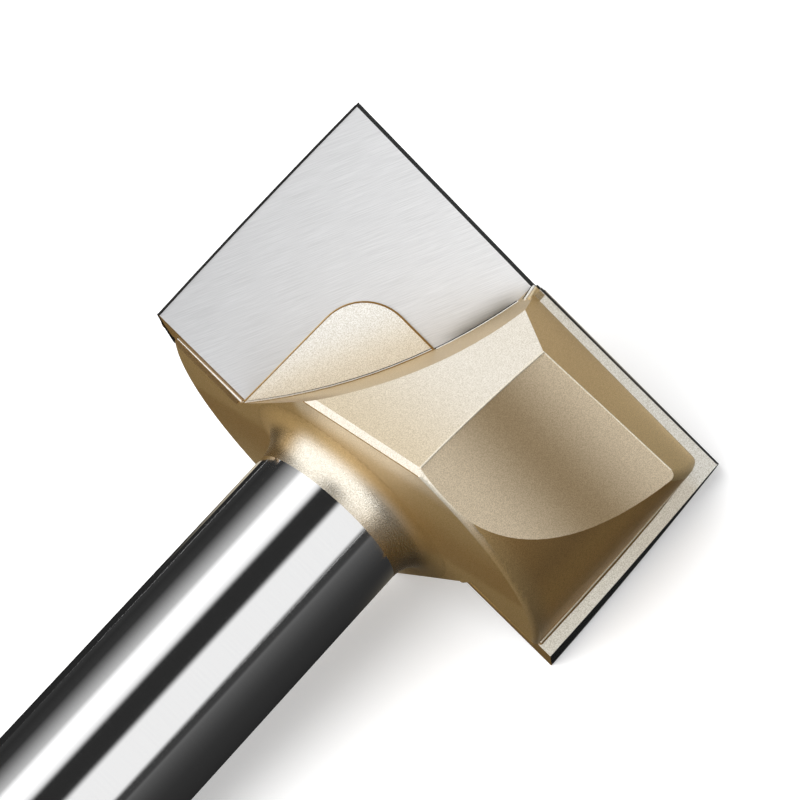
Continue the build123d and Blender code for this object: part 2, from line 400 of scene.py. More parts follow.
lines, lines_in, lines_out = new_group(
    "Grinding lines",
    [
        ("Vector", "NodeSocketVector", None),
        ("Along", "NodeSocketVector", (1, 0, 0)),
        ("Across", "NodeSocketVector", (0, 1, 0)),
        ("Fineness", "NodeSocketFloat", 9000.0),
        ("Stretch", "NodeSocketFloat", 60.0),
    ],
    ["Lines", "Height"],
)
fine = lines_in.outputs["Fineness"]
along = dot(lines, lines_in.outputs["Vector"], lines_in.outputs["Along"])
along = times(lines, along, maths(lines, "DIVIDE", fine, lines_in.outputs["Stretch"]))
across = times(lines, dot(lines, lines_in.outputs["Vector"], lines_in.outputs["Across"]), fine)
stretched = lines.nodes.new("ShaderNodeCombineXYZ")
link(lines, along, stretched.inputs[0])
link(lines, across, stretched.inputs[1])
streak = lines.nodes.new("ShaderNodeTexNoise")
streak.inputs["Scale"].default_value = 1
streak.inputs["Detail"].default_value = 4
streak.inputs["Roughness"].default_value = 0.75
link(lines, stretched.outputs[0], streak.inputs["Vector"])
link(lines, smooth(lines, streak.outputs["Fac"], 0.3, 0.7), lines_out.inputs["Lines"])
link(lines, streak.outputs["Fac"], lines_out.inputs["Height"])
print("node groups", sorted(group.name for group in bpy.data.node_groups))


# %% Helpers for materials
def new_material(name):
    """Make a material with an empty tree, its Principled shader and object coordinates."""
    material = bpy.data.materials.new(name)
    material.use_nodes = True
    tree = material.node_tree
    tree.nodes.clear()
    shader = tree.nodes.new("ShaderNodeBsdfPrincipled")
    out = tree.nodes.new("ShaderNodeOutputMaterial")
    link(tree, shader.outputs[0], out.inputs["Surface"])
    place = tree.nodes.new("ShaderNodeTexCoord").outputs["Object"]
    return material, tree, shader, place


def use_group(tree, group, place, **values):
    """Put a node group into a material and set its inputs."""
    node = tree.nodes.new("ShaderNodeGroup")
    node.node_tree = group
    link(tree, place, node.inputs["Vector"])
    for title, value in values.items():
        node.inputs[title].default_value = value
    return node


def bump(tree, height, strength, distance):
    """Add a Bump node."""
    node = tree.nodes.new("ShaderNodeBump")
    node.inputs["Strength"].default_value = strength
    node.inputs["Distance"].default_value = distance
    link(tree, height, node.inputs["Height"])
    return node.outputs["Normal"]


def colour_of(tone, tree, place):
    """A tone is one colour, or a function that builds it from the tree and the coordinates."""
    return tone if isinstance(tone, tuple) else tone(tree, place)


# %% [markdown]
# The coating's tones below are mostly painted light and shade: each surface gets a lit or a
# shaded copy of the gold, and slopes along the tool paint highlights and shade across it. The
# tones could be painted by hand on the mesh, but a slope along the tool follows the shape by
# itself. These helpers measure such slopes in millimetres.


# %% Places along the tool
def along_tool(tree, place, direction):
    """How far along a direction of the tool a point lies, in millimetres from its tip."""
    bench = TOOL_X * direction[0] + TOOL_Y * direction[1] + TOOL_Z * direction[2]
    return maths(tree, "SUBTRACT", dot(tree, place, bench / MM), TOOL_ORIGIN.dot(bench) / MM)


def height_of(tree, place):
    """How far up the axis a point lies: 0 at the cutting end, negative towards the shank."""
    return along_tool(tree, place, (0, 0, 1))


def on_both_sides(tree, place, across, height=0.0):
    """A slope in millimetres that is the same on both halves of the tool: it counts the distance
    from the axis along `across`, and a share `height` of the distance along the axis."""
    outward = maths(tree, "ABSOLUTE", along_tool(tree, place, (*across, 0)))
    if not height:
        return outward
    return maths(tree, "ADD", outward, times(tree, height_of(tree, place), height))


def reach_of(tree, place):
    """How far out along the blades a point lies, on either side."""
    return on_both_sides(tree, place, (1, 0))


NECK_FROM, NECK_TO = -22.4, -21.3


def neck_of(tree, place):
    """1 on the hollow of the neck, 0 on the head."""
    return smooth(tree, height_of(tree, place), NECK_FROM, NECK_TO, 1.0, 0.0)


# %% [markdown]
# The head is blasted and then coated a champagne gold. Close up it is sand: bright grains
# between darker ones. The coating scatters half of the light and mirrors the other half, which a
# half-metallic shader gives. The hollow of the neck is burnished and mirrors more.

# %% Gold coating
GRAIN_SCALE = 13000.0
GRAIN_DARK, GRAIN_LIGHT = (0.71, 0.69, 0.64), (1.0, 1.0, 1.0)
COAT_ROUGH = 0.4
GRAIN_ROUGH = 0.05
NECK_POLISH = 0.15
NECK_MIRROR = 0.85


def gold_coating(name, tone, mirror=0.5):
    """Make the coating in one tone; `mirror` is the share of light that it mirrors."""
    material, tree, shader, place = new_material(name)
    grains = use_group(tree, sand, place, Scale=GRAIN_SCALE)
    speckle = grains.outputs["Speckle"]
    grain_tone = mix(tree, speckle, GRAIN_DARK, GRAIN_LIGHT)
    colour = mix(tree, 1.0, colour_of(tone, tree, place), grain_tone, "MULTIPLY")
    link(tree, colour, shader.inputs["Base Color"])
    on_neck = neck_of(tree, place)
    link(tree, smooth(tree, on_neck, 0, 1, mirror, NECK_MIRROR), shader.inputs["Metallic"])
    grain_rough = smooth(tree, speckle, 0, 1, COAT_ROUGH + GRAIN_ROUGH, COAT_ROUGH - GRAIN_ROUGH)
    neck_rough = smooth(tree, on_neck, 0, 1, 0.0, NECK_POLISH)
    link(tree, maths(tree, "SUBTRACT", grain_rough, neck_rough), shader.inputs["Roughness"])
    link(tree, bump(tree, grains.outputs["Height"], 0.5, 0.00003), shader.inputs["Normal"])
    return material


# %% [markdown]
# The shoulder and the neck are turned, so one tone runs round them. It pales towards the flat, a
# painted highlight, and deepens behind the flat, a painted shade.

# %% Tones of the turned surfaces
TOWARDS_FLAT = (-0.70, -0.71)
ACROSS_FLAT = (-0.71, 0.70)


def shoulder_tone(tree, place):
    """Brown gold and the neck: painted highlight towards the flat, painted shade behind it."""
    by_flat = on_both_sides(tree, place, TOWARDS_FLAT)
    paler = mix(tree, smooth(tree, by_flat, 2, 9), (0.46, 0.28, 0.10), (0.57, 0.39, 0.17))
    shoulder = mix(tree, smooth(tree, by_flat, 8.5, 11.5), paler, (0.83, 0.66, 0.43))
    neck = mix(tree, smooth(tree, by_flat, 0, 5), (0.88, 0.58, 0.25), (0.96, 0.90, 0.79))
    # Painted shade behind the flat.
    behind_flat = times(
        tree,
        along_tool(tree, place, (*TOWARDS_FLAT, 0)),
        along_tool(tree, place, (*ACROSS_FLAT, 0)),
    )
    behind_flat = smooth(tree, behind_flat, 2, 18)
    shoulder = mix(tree, behind_flat, shoulder, (0.56, 0.37, 0.15))
    neck = mix(tree, behind_flat, neck, (0.42, 0.28, 0.12))
    return mix(tree, neck_of(tree, place), shoulder, neck)


def round_tone(tree, place):
    """Bronze painted shade on the head's round, with painted light near the blades and shoulder."""
    bronze = mix(
        tree, smooth(tree, reach_of(tree, place), 11, 14.5), (0.46, 0.28, 0.105), (0.78, 0.47, 0.16)
    )
    return mix(tree, smooth(tree, height_of(tree, place), -21.2, -19), (0.56, 0.38, 0.17), bronze)


def rim_tone(tree, place):
    """A painted highlight on the shoulder's rounded rim beside the flat, and gold further round."""
    by_flat = on_both_sides(tree, place, TOWARDS_FLAT)
    return mix(tree, smooth(tree, by_flat, 5, 13), (0.56, 0.38, 0.17), (1.0, 0.94, 0.82))


def end_tone(tree, place):
    """Gold of the sloped ends, with painted light growing towards the blades' outer ends."""
    reach = smooth(tree, reach_of(tree, place), 3, 15)
    return mix(tree, reach, (0.67, 0.47, 0.21), (1.0, 0.74, 0.37))


# %% [markdown]
# The heel is milled in three cuts, and each has its own painted light: the flat faces up to the
# light and is a lit cream, the hollow has a painted dark reflection along its middle, and the
# narrow bevel is a painted highlight, almost white.

# %% Tones of the heel
BEVEL_HIGHLIGHT = (0.84, 0.78, 0.68)
HOLLOW_MIDDLE = -12.95


def flat_tone(tree, place):
    """Cream of the lit flat, a painted light that warms towards the shoulder."""
    height = smooth(tree, height_of(tree, place), -22, -11)
    return mix(tree, height, (0.84, 0.72, 0.53), (1.0, 0.95, 0.86))


def hollow_tone(tree, place):
    """Painted dark reflection along the middle of the hollow, and painted light at its sides."""
    off_middle = maths(tree, "SUBTRACT", height_of(tree, place), HOLLOW_MIDDLE)
    off_middle = maths(tree, "ABSOLUTE", off_middle)
    return mix(tree, smooth(tree, off_middle, 0, 7.5), (0.46, 0.34, 0.195), (0.98, 0.83, 0.62))


# %% [markdown]
# The flute's floor is lit cream, the brightest painted light of the tool, with painted shade
# where it meets the wall, and its wall is a greyish tan with painted shade towards both its ends.
# The seats under the blades are painted a deep brown shade, the blades' feet are a darker brown,
# and the pale line on the edges is a painted highlight.

# %% Tones of the flute, the seats and the edges
BROWN = (0.52, 0.33, 0.125)
DEEP_BROWN_TONE = tuple(colour * shade for colour, shade in zip(BROWN, (0.80, 0.76, 0.70)))
# The seats' deep brown is painted shade, for they lie under the blades.
SEAT_SHADE = tuple(colour * 0.35 for colour in BROWN)
# The pale tone of the edges is a painted highlight.
EDGE_HIGHLIGHT = (1.0, 0.93, 0.78)


def floor_tone(tree, place):
    """Cream on the flute's floor, a painted light, and tan painted shade where it meets the wall.
    """
    from_wall = on_both_sides(tree, place, (-0.901, 0), 0.433)
    return mix(tree, smooth(tree, from_wall, -1.1, 2.4), (0.95, 0.89, 0.77), (1.0, 1.0, 0.98))


def wall_tone(tree, place):
    """Greyish tan of the flute's walls, with painted shade towards the shoulder and the end."""
    height = height_of(tree, place)
    tan_wall = mix(tree, smooth(tree, height, -21, -18), (0.48, 0.31, 0.12), (0.72, 0.55, 0.32))
    return mix(tree, smooth(tree, height, -8, -3), tan_wall, (0.52, 0.39, 0.21))


def pale_tone(tree, place):
    """Painted light on the coat of the blades' backs: the upright part, and the part across the
    end.
    """
    reach = smooth(tree, reach_of(tree, place), 0, 14)
    across_end = mix(tree, reach, (0.97, 0.93, 0.84), (1.0, 0.98, 0.92))
    height = height_of(tree, place)
    upright = mix(tree, smooth(tree, height, -14, -9), (1.0, 0.96, 0.86), (0.90, 0.84, 0.73))
    return mix(tree, smooth(tree, height, -4, -2.5), upright, across_end)


# %% All the gold finishes
gold = gold_coating("gold_shoulder", shoulder_tone)
gold_end = gold_coating("gold_end", end_tone)
gold_flat = gold_coating("gold_flat", flat_tone)
gold_hollow = gold_coating("gold_hollow", hollow_tone)
gold_floor = gold_coating("gold_floor", floor_tone)
gold_wall = gold_coating("gold_wall", wall_tone)
gold_round = gold_coating("gold_round", round_tone)
gold_rim = gold_coating("gold_rim", rim_tone)
gold_pale = gold_coating("gold_pale", pale_tone, 0.8)
gold_brown = gold_coating("gold_brown", DEEP_BROWN_TONE)
gold_edge_highlight = gold_coating("gold_edge_highlight", EDGE_HIGHLIGHT, 0.15)
gold_seat = gold_coating("gold_seat", SEAT_SHADE)
gold_bevel = gold_coating("gold_bevel", BEVEL_HIGHLIGHT, 0.2)
print("gold finishes", sum(material.name.startswith("gold") for material in bpy.data.materials))

# %% [markdown]
# The shank is ground and then polished until it mirrors the room. A trace of the turning marks
# is left, as faint lines round it.

# %% Polished steel
steel, tree, shader, place = new_material("polished_steel")
marks = use_group(tree, lines, place, Along=TOOL_X, Across=TOOL_Z, Fineness=6000.0, Stretch=60.0)
steel_tone = mix(tree, marks.outputs["Lines"], (0.93, 0.93, 0.935), (0.95, 0.95, 0.95))
link(tree, steel_tone, shader.inputs["Base Color"])
shader.inputs["Metallic"].default_value = 1
link(tree, smooth(tree, marks.outputs["Lines"], 0, 1, 0.07, 0.09), shader.inputs["Roughness"])
print("finish", steel.name, "with", len(tree.nodes), "nodes")

# %% [markdown]
# The blades are ground on a surface grinder. The lines run slanting across the face. They are
# so fine that they show as a silky streak, so they change the colour and the roughness a little
# and barely move the surface.

# %% Ground carbide
AXIAL_RAKE = math.radians(10.5)
FACE_OUT = -TOOL_Y * math.cos(AXIAL_RAKE) - TOOL_Z * math.sin(AXIAL_RAKE)
GRIND_ALONG = Vector((0.9231, -0.3742, -0.0887)).normalized()
GRIND_ACROSS = FACE_OUT.cross(GRIND_ALONG).normalized()
STREAK_DARK, STREAK_LIGHT = (0.82,) * 3, (1.0,) * 3


def ground_carbide(name, tone, metallic, rough):
    """Make one finish of the blades."""
    material, tree, shader, place = new_material(name)
    streaks = use_group(
        tree, lines, place, Along=GRIND_ALONG, Across=GRIND_ACROSS, Fineness=17000.0, Stretch=60.0
    )
    streak = streaks.outputs["Lines"]
    streak_tone = mix(tree, streak, STREAK_DARK, STREAK_LIGHT)
    colour = mix(tree, 1.0, colour_of(tone, tree, place), streak_tone, "MULTIPLY")
    link(tree, colour, shader.inputs["Base Color"])
    shader.inputs["Metallic"].default_value = metallic
    streak_rough = smooth(tree, streak, 0, 1, rough + 0.06, rough - 0.03)
    link(tree, streak_rough, shader.inputs["Roughness"])
    link(tree, bump(tree, streaks.outputs["Height"], 0.12, 0.00002), shader.inputs["Normal"])
    return material


# %% [markdown]
# The face's grey grows lighter towards the tip, a painted light. Along the flute's wall lies a
# dark painted shade, strongest at the wall itself and fading at both its ends.

# %% Face and honed edges
HONED_DARK_REFLECTION = (0.03,) * 3
WALL_SHADE = (0.17, 0.155, 0.12)


def face_tone(tree, place):
    """Grey with painted light towards the tip, and painted shade along the wall."""
    from_tip = spread(tree, on_both_sides(tree, place, (-0.70, 0.28), -0.656), 0, 28)
    grey = mix(tree, from_tip, (0.86, 0.865, 0.875), (0.56, 0.565, 0.575))
    off_wall = on_both_sides(tree, place, (-0.970, -0.044), 0.237)
    by_wall = on_both_sides(tree, place, (0.2415, -0.176), -0.954)
    fading = spread(tree, off_wall, -0.25, 1.5, 1.0, 0.0)
    wall_shade = times(
        tree,
        fading,
        fading,
        smooth(tree, by_wall, 1.2, 3.4),
        smooth(tree, by_wall, 6.4, 9.6, 1.0, 0.0),
    )
    return mix(tree, wall_shade, grey, WALL_SHADE)


carbide = ground_carbide("ground_carbide", face_tone, 0.5, 0.34)
honed = ground_carbide("honed_edge", HONED_DARK_REFLECTION, 0.7, 0.28)
print("slant of the grinding lines", round(math.degrees(GRIND_ALONG.angle(TOOL_X))), "degrees")

# %% [markdown]
# Braze is the silver solder that holds each blade. What shows of it is a dull amber line.

# %% Braze
braze, tree, shader, place = new_material("braze")
grains = use_group(tree, sand, place, Scale=5000.0)
braze_tone = mix(tree, grains.outputs["Speckle"], (0.30, 0.18, 0.07), (0.62, 0.42, 0.20))
link(tree, braze_tone, shader.inputs["Base Color"])
shader.inputs["Metallic"].default_value = 0.7
shader.inputs["Roughness"].default_value = 0.4
link(tree, bump(tree, grains.outputs["Height"], 0.3, 0.00005), shader.inputs["Normal"])
print("finish", braze.name, "with", len(tree.nodes), "nodes")

# %% [markdown]
# A CAD node keeps its shape and gets its finishes face by face. The middle and the normal of
# each face, turned into the tool's own axes, say which surface it belongs to. The second flute
# and blade are the first ones turned half round, so each test can be made for either side. A
# flat surface is known by its direction, and by how nearly a face has to look that way.

# %% Directions of the surfaces
FLOOR = (Vector((0, -math.cos(AXIAL_RAKE), -math.sin(AXIAL_RAKE))), 0.9999)
FLAT = (Vector((-0.628, -0.653, 0.424)), 0.999)
BEVEL = (Vector((-0.421, -0.437, -0.794)), 0.995)
HOLLOW = (Vector((0.116, -0.880, 0.460)), 0.99)
END = (Vector((0, -0.539, 0.842)), 0.999)


def on_axes(normal):
    """Turn a direction of the scene into the tool's own axes."""
    return Vector((normal.dot(TOOL_X), normal.dot(TOOL_Y), normal.dot(TOOL_Z)))


def first_side(number, vector):
    """Turn points and directions of the second side half round, onto the first side."""
    return Vector((-vector.x, -vector.y, vector.z)) if number == 2 else vector


def faces_on(number, facing, surface):
    """True if a face looks along a surface of one side of the tool."""
    out, least = surface
    return first_side(number, facing).dot(out) > least


def faces_along(facing, surface):
    """True if a face looks along a surface of either side."""
    return faces_on(1, facing, surface) or faces_on(2, facing, surface)


def depth_of(spot, facing):
    """How far a face's plane stands out from the axis, in millimetres."""
    return spot.dot(facing)


# %% Surfaces of the body
BODY_FINISHES = [
    gold, gold_end, gold_flat, gold_bevel, gold_hollow, gold_floor, gold_wall, gold_round,
    gold_rim, steel, gold_seat,
]
HEAD_RADIUS = 17.4
SHOULDER = -21.25
NECK_EDGE = -23.88
FACE_LEVEL = -1.0
NEAR = 0.01
STRAIGHT_DOWN = -0.999
ROUND_SKIN, UPRIGHT = 0.06, 0.05
RIM_WIDE, RIM_HIGH = 0.5, 0.44
END_RIM_WIDE = 0.7
WALL_CLIMB = 0.6


def body_finish(spot, facing):
    """Choose the finish of one face of the body."""
    reach = math.hypot(spot.x, spot.y)
    if spot.z < NECK_EDGE + NEAR:
        return steel
    if spot.z < SHOULDER - NEAR or facing.z < STRAIGHT_DOWN:
        return gold
    if faces_along(facing, FLAT):
        return gold_flat
    if faces_along(facing, BEVEL):
        return gold_bevel
    if faces_along(facing, FLOOR):
        return gold_floor if depth_of(spot, facing) > FACE_LEVEL else gold_seat
    if faces_along(facing, END):
        return gold_end
    if reach > HEAD_RADIUS - ROUND_SKIN and abs(facing.z) < UPRIGHT:
        return gold_round
    if reach > HEAD_RADIUS - RIM_WIDE and facing.z < 0 and spot.z < SHOULDER + RIM_HIGH:
        return gold_rim
    if faces_along(facing, HOLLOW):
        return gold_hollow
    if reach > HEAD_RADIUS - END_RIM_WIDE and facing.z > 0:
        return gold_end
    if reach < HEAD_RADIUS and facing.z < WALL_CLIMB:
        return gold_wall
    return gold


# %% Dress the body
def dress(node, materials, choose):
    """Give a CAD node its materials, one face at a time."""
    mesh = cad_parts[node].data
    mesh.materials.clear()
    for material in materials:
        mesh.materials.append(material)
    counts = {material.name: 0 for material in materials}
    for polygon in mesh.polygons:
        material = choose(on_tool(polygon.center), on_axes(polygon.normal))
        polygon.material_index = materials.index(material)
        counts[material.name] += 1
    print(node, "faces by finish", counts)


dress("cutter_body", BODY_FINISHES, body_finish)

# %% [markdown]
# A blade has a ground face, a back and a foot that took a thin coat with the head, and honed
# edges all round. A honed edge mirrors one direction only, and in the picture that is a dark
# one, so its finish is painted nearly black, a painted dark reflection.


# %% Dress the blades and the braze
FOOT_DOWN = -0.7


def blade_finish(spot, facing):
    """The ground face, the coated back and foot, and the honed edges."""
    if faces_along(facing, FLOOR):
        return carbide
    if faces_along(-facing, FLOOR):
        return gold_pale
    return gold_brown if facing.z < FOOT_DOWN else honed


for name in ("blade_1", "blade_2"):
    dress(name, [carbide, gold_pale, gold_brown, honed], blade_finish)
for name in ("braze_1", "braze_2"):
    dress(name, [braze], lambda spot, facing: braze)

# %% [markdown]
# Where braze has run out of a joint it leaves a bead, mostly thinner than 0.2 mm. A bead could be
# painted on, but then it would catch no light, so it is a thin round wire half sunk in the seam:
# a curve with a bevel. It follows the outline of the faces beside it, which is read from the CAD
# mesh as a loop of points.


# %% Outline of a group of faces
def key_of(point):
    """Name a point by its place in whole thousandths of a millimetre."""
    return tuple(round(c * 1000) for c in point)


def rim_of(node, pick):
    """The outline of the faces that `pick` chooses, as a loop of points of the tool."""
    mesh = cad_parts[node].data
    places = {}
    count = {}
    for polygon in mesh.polygons:
        if not pick(on_tool(polygon.center), on_axes(polygon.normal)):
            continue
        corners = [on_tool(mesh.vertices[v].co) for v in polygon.vertices]
        keys = [key_of(corner) for corner in corners]
        for k, key in enumerate(keys):
            places[key] = corners[k]
            side = frozenset((key, keys[k - 1]))
            count[side] = count.get(side, 0) + 1
    beside = {}
    for side, uses in count.items():
        if uses == 1 and len(side) == 2:
            first, second = side
            beside.setdefault(first, []).append(second)
            beside.setdefault(second, []).append(first)
    start = min(beside)
    loop = [start]
    step = beside[start][0]
    while step != start and len(loop) <= len(beside):
        loop.append(step)
        ahead = [key for key in beside[step] if key != loop[-2]]
        step = ahead[0]
    return [places[key] for key in loop]


# %% Parts of an outline
def stretch_of(loop, keep):
    """The unbroken stretch of a loop where `keep` holds."""
    inside = [bool(keep(point)) for point in loop]
    first = next(k for k in range(len(loop)) if inside[k] and not inside[k - 1])
    stretch = []
    for point in loop[first:] + loop[:first]:
        if not keep(point):
            break
        stretch.append(point)
    return stretch


def shift(points, step):
    """Move points of the tool by one step."""
    return [point + Vector(step) for point in points]


# %% Outlines on each side
FLUTE_REACH = 16.0


def rims_of(number):
    """The outlines on one side: the blade's face and back, the flute's half-moon and the seat."""

    def is_face(spot, facing):
        return faces_on(number, facing, FLOOR)

    def is_back(spot, facing):
        return faces_on(number, -facing, FLOOR)

    def is_half_moon(spot, facing):
        raised = depth_of(spot, facing) > FACE_LEVEL
        return is_face(spot, facing) and raised and spot.xy.length < FLUTE_REACH

    def is_seat(spot, facing):
        return is_face(spot, facing) and depth_of(spot, facing) < FACE_LEVEL

    loops = (
        rim_of(f"blade_{number}", is_face),
        rim_of(f"blade_{number}", is_back),
        rim_of("cutter_body", is_half_moon),
        rim_of("cutter_body", is_seat),
    )
    return [[first_side(number, point) for point in loop] for loop in loops]


RIMS = {number: rims_of(number) for number in (1, 2)}
print("points on the outlines", {number: [len(rim) for rim in RIMS[number]] for number in RIMS})


# %% A bead along points
def bead(name, points, radii, material):
    """Lay a thin round wire along points of the tool; its radii are spread evenly along it."""
    curve = bpy.data.curves.new(name, "CURVE")
    curve.dimensions = "3D"
    curve.bevel_depth = MM
    curve.bevel_resolution = 3
    curve.use_fill_caps = True
    spline = curve.splines.new("POLY")
    spline.points.add(len(points) - 1)
    for k, (knot, point) in enumerate(zip(spline.points, points)):
        knot.co = (*on_bench(point), 1)
        along = k / (len(points) - 1) * (len(radii) - 1)
        before = min(int(along), len(radii) - 2)
        knot.radius = radii[before] + (radii[before + 1] - radii[before]) * (along - before)
    curve.materials.append(material)
    piece = bpy.data.objects.new(name, curve)
    bpy.context.scene.collection.objects.link(piece)
    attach(piece, "root")


def lay(number, name, points, radii, material):
    """Lay a bead that is given on the first side of the tool on one of its sides."""
    points = [first_side(number, Vector(point)) for point in points]
    bead(f"{name}_{number}", points, radii, material)


# %% Finishes of the beads
def plain(name, colour, metallic, rough):
    """Make a finish of one colour with a trace of speckle."""
    material, tree, shader, place = new_material(name)
    grains = use_group(tree, sand, place, Scale=9000.0)
    speckled = mix(tree, grains.outputs["Speckle"], tuple(0.85 * c for c in colour), colour)
    link(tree, speckled, shader.inputs["Base Color"])
    shader.inputs["Metallic"].default_value = metallic
    shader.inputs["Roughness"].default_value = rough
    return material


# The silver wire is solder at the seams, feet and tips, and a painted highlight on the half-moon.
silver = plain("silver_solder_and_highlight", (0.97, 0.95, 0.90), 0.5, 0.25)
# The amber wires are painted shade lines.
amber = plain("amber_painted_shade", (0.27, 0.15, 0.035), 0.5, 0.35)
tan = plain("tan_flux", (0.80, 0.66, 0.42), 0.5, 0.35)
# The dark wire is the painted shade of a gap.
dark = plain("painted_gap_shade", (0.025, 0.022, 0.018), 0.0, 0.5)
print("finishes in all", len(bpy.data.materials))

# %% [markdown]
# Three lines run side by side where the blade's face meets the flute's wall: bare solder, a dark
# wire of painted shade for the gap beside it, and an amber line of painted shade higher up the
# wall.

# %% Seam between the blade and the flute's wall
UP_WALL = Vector((0.125, -1, -0.06))
WALL_END_X, WALL_END_Z = -2.3, -2.0


def seam_beads(number, face_rim):
    """Lay the lines along the wall, from the end of the blade to its foot."""
    seam = stretch_of(face_rim, lambda point: point.x > WALL_END_X and point.z < WALL_END_Z)
    lay(number, "seam_light", shift(seam, UP_WALL * 0.3), (0.075, 0.075), silver)
    lay(number, "seam_dark", shift(seam, (-0.03, -0.03, 0)), (0.055, 0.055), dark)
    lay(number, "seam_brown", shift(seam, UP_WALL * 0.55), (0.03, 0.03), amber)
    print("points on the seam of side", number, len(seam))


# %% [markdown]
# The half-moon is the bit of floor that the flute leaves between the blade and the wall. Brown
# painted shade lies round it on the blade's side, and along the wall a painted highlight, a dark
# painted shade and a brown painted shade.

# %% Rim of the half-moon
SHOULDER_END = -21.2
TO_FACE = Vector((-0.90, 0, 0.43))


def split_moon(loop):
    """Split the half-moon's outline at its tip: the side along the blade, then the wall side."""
    start = loop.index(max(loop, key=lambda point: point.x))
    turned = loop[start:] + loop[:start]
    if turned[1].z < turned[-1].z:
        turned = [turned[0]] + turned[:0:-1]
    low = next(k for k, point in enumerate(turned) if point.z < SHOULDER_END)
    return turned[: low + 1], turned[low:] + [turned[0]]


def moon_beads(number, moon_rim):
    """Lay the lines round the half-moon, thicker towards the tip."""
    blade_side, wall_side = split_moon(moon_rim)
    lay(number, "moon_rim", blade_side, (0.085, 0.035), amber)
    lay(number, "wall_brown", shift(wall_side, (0, -0.03, 0)), (0.03, 0.07), amber)
    lay(number, "wall_light", shift(wall_side, TO_FACE * 0.1), (0.02, 0.05), silver)
    lay(number, "wall_dark", shift(wall_side, TO_FACE * 0.17), (0.02, 0.04), dark)


# %% [markdown]
# Solder has run out under the blade's foot. On the first side it lies bare and bright, and on
# the second the coating covers it, and a dark wire beside it paints the shade of a gap. The first
# blade's foot also shows the dark corner of its grinding, a painted dark reflection, which the
# second one's coating hides.

# %% Foot of the blade
FOOT_LINE = [(-16.24, 5.2, -21.04), (-9.4, 5.1, -21.04)]
FOOT_GAP = [(-16.2, 5.38, -21.02), (-9.5, 5.34, -21.02)]
FOOT_LAND = [(-18.6, 4.2, -21.03), (-17.7, 5.2, -21.03), (-16.9, 5.9, -21.03), (-16.1, 6.65, -21.0)]


def foot_beads(number):
    """Lay the line of solder under the blade's foot and the painted shade of the gap beside it."""
    foot_metal = silver if number == 1 else gold_brown
    lay(number, "foot_light", FOOT_LINE, (0.04, 0.11), foot_metal)
    lay(number, "foot_dark", FOOT_GAP, (0.03, 0.05), dark)


# %% [markdown]
# A cutting edge is honed to a narrow land, which mirrors nothing bright, so its black line round
# the blade is a painted dark reflection. The CAD blade has its lands, and these black wires carry
# the painted line on where a land is too narrow for the picture to hold.

# %% Lands of the cutting edges
SIDE_X = -18.4
END_LAND = [(0.2, 2.28, -1.0), (-9, 2.26, -0.92), (SIDE_X, 2.25, -0.8)]


def land_beads(number, face_rim):
    """Lay the dark lines along the side edge, the foot's corner and the end edge."""
    side = stretch_of(face_rim, lambda point: point.x < SIDE_X)
    lay(number, "side_land", shift(side, (-0.03, 0, 0)), (0.1, 0.1), honed)
    if number == 1:
        lay(number, "foot_land", FOOT_LAND, (0.04, 0.08, 0.13), honed)
    lay(number, "end_land", END_LAND, (0.1, 0.07, 0.04), honed)


# %% [markdown]
# At the inner end the blade stops on the head's slope, and the solder, the flux and a dark wire
# of painted shade for the gap show side by side as three short lines, with a land above them in
# painted dark reflection.

# %% Inner end of the blade
TIP_LIGHT = [(-0.4, -1.74, -2.29), (-0.4, -0.6, -0.68)]
TIP_TAN = [(-0.4, -2.95, -2.38), (-0.4, -1.75, -1.05)]
TIP_GAP = [(-0.4, -0.7, -2.01), (-0.4, 0.36, -0.44)]
TIP_LAND = [(-0.42, 0.22, -0.36), (0.25, 0.22, -0.38)]


def tip_beads(number):
    """Lay the short lines at the blade's inner end."""
    lay(number, "tip_light", TIP_LIGHT, (0.11, 0.11), silver)
    lay(number, "tip_tan", TIP_TAN, (0.11, 0.11), tan)
    lay(number, "tip_dark", TIP_GAP, (0.03, 0.03), dark)
    lay(number, "tip_land", TIP_LAND, (0.1, 0.1), honed)


# %% [markdown]
# Where the seat breaks out through the head's round, the steel stands up in a soft dark brown
# lip, and a pale wire along its crest is a painted highlight.


# %% Lip of the seat
LIP_REACH = 17.38
LIP_LOW, LIP_HIGH = -20.9, -2.6


def lip_beads(number, seat_rim):
    """Lay the lip along the seat's outer edge, from the end to the shoulder."""
    outer = [point for point in seat_rim if point.xy.length > LIP_REACH]
    lip = [point for point in outer if LIP_LOW < point.z < LIP_HIGH]
    lip.sort(key=lambda point: -point.z)
    crest = shift(lip, (0.04, 0.36, 0))
    lay(number, "lip", lip, (0.02, 0.26, 0.26, 0.24, 0.2), gold_brown)
    lay(number, "lip_light", crest, (0.02, 0.07, 0.07, 0.07), gold_edge_highlight)


# %% [markdown]
# Where two milled surfaces meet, the edge shows as a thin painted line: a painted highlight at
# the flat and at the sloped end, a painted amber shade under the bevel. The points that the faces
# of both surfaces share are that edge.


# %% Edge between two groups of faces
def crease_between(node, first_pick, second_pick):
    """The points of the tool where two groups of faces meet."""
    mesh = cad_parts[node].data
    groups = [{}, {}]
    for polygon in mesh.polygons:
        spot, facing = on_tool(polygon.center), on_axes(polygon.normal)
        for group, pick in zip(groups, (first_pick, second_pick)):
            if pick(spot, facing):
                for v in polygon.vertices:
                    corner = on_tool(mesh.vertices[v].co)
                    group[key_of(corner)] = corner
    return [corner for key, corner in groups[0].items() if key in groups[1]]


